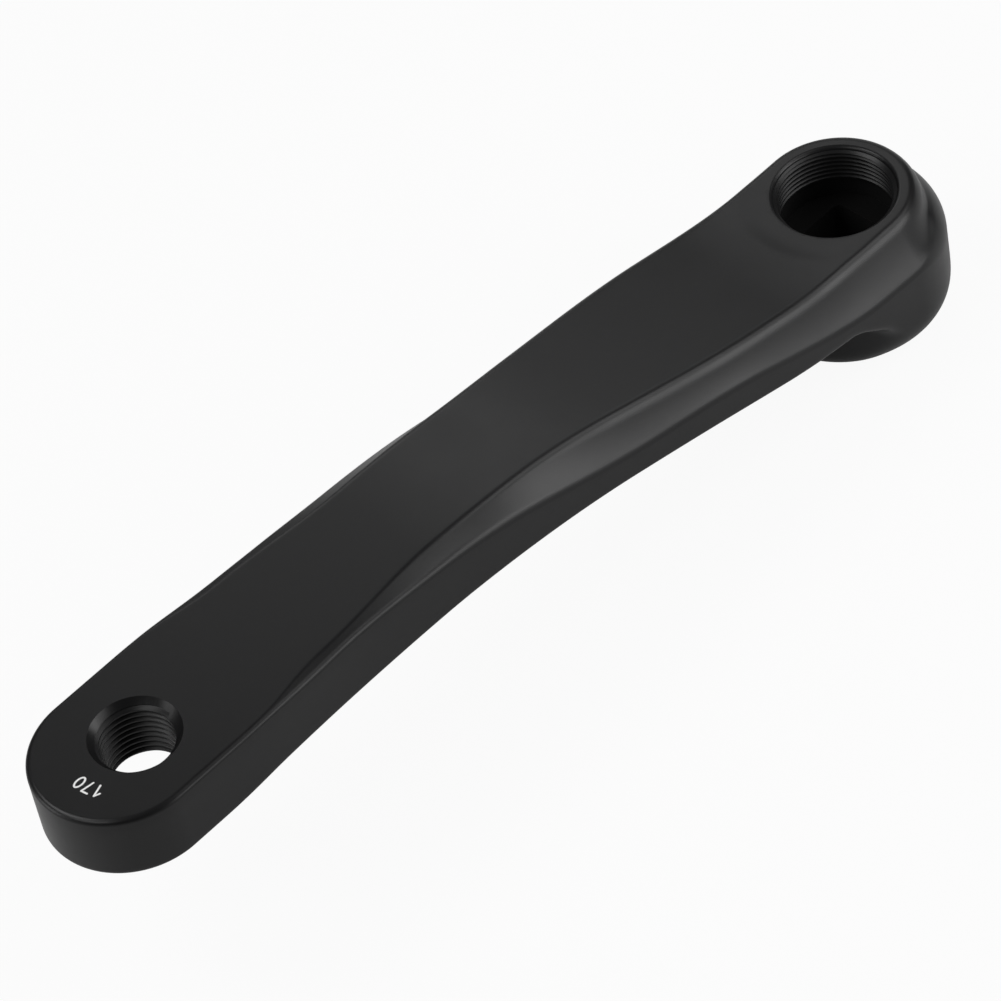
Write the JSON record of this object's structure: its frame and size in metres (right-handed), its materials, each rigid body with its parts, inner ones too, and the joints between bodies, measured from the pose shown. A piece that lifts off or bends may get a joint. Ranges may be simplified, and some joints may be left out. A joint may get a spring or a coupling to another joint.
{
  "type": "bicycle crank arm",
  "caption": "Black crank arm of a bicycle for a square taper spindle: bent outwards, bevelled sides, round boss with an extractor thread, and a threaded eye for the pedal.",
  "frame": {"origin": "on the spindle axis, at the back face of the boss, where the spindle enters", "axes": "+Z along the spindle axis towards the outer side of the arm, +X from the spindle axis to the pedal axis"},
  "size_m": [0.2083, 0.038, 0.0423],
  "materials": {
    "satin_black": "satin black with a fine blasted grain",
    "white_mark": "white print of the size figures, which only the visual shows"
  },
  "bodies": {
    "root": {"crank_arm": "satin_black"}
  },
  "joints": []
}
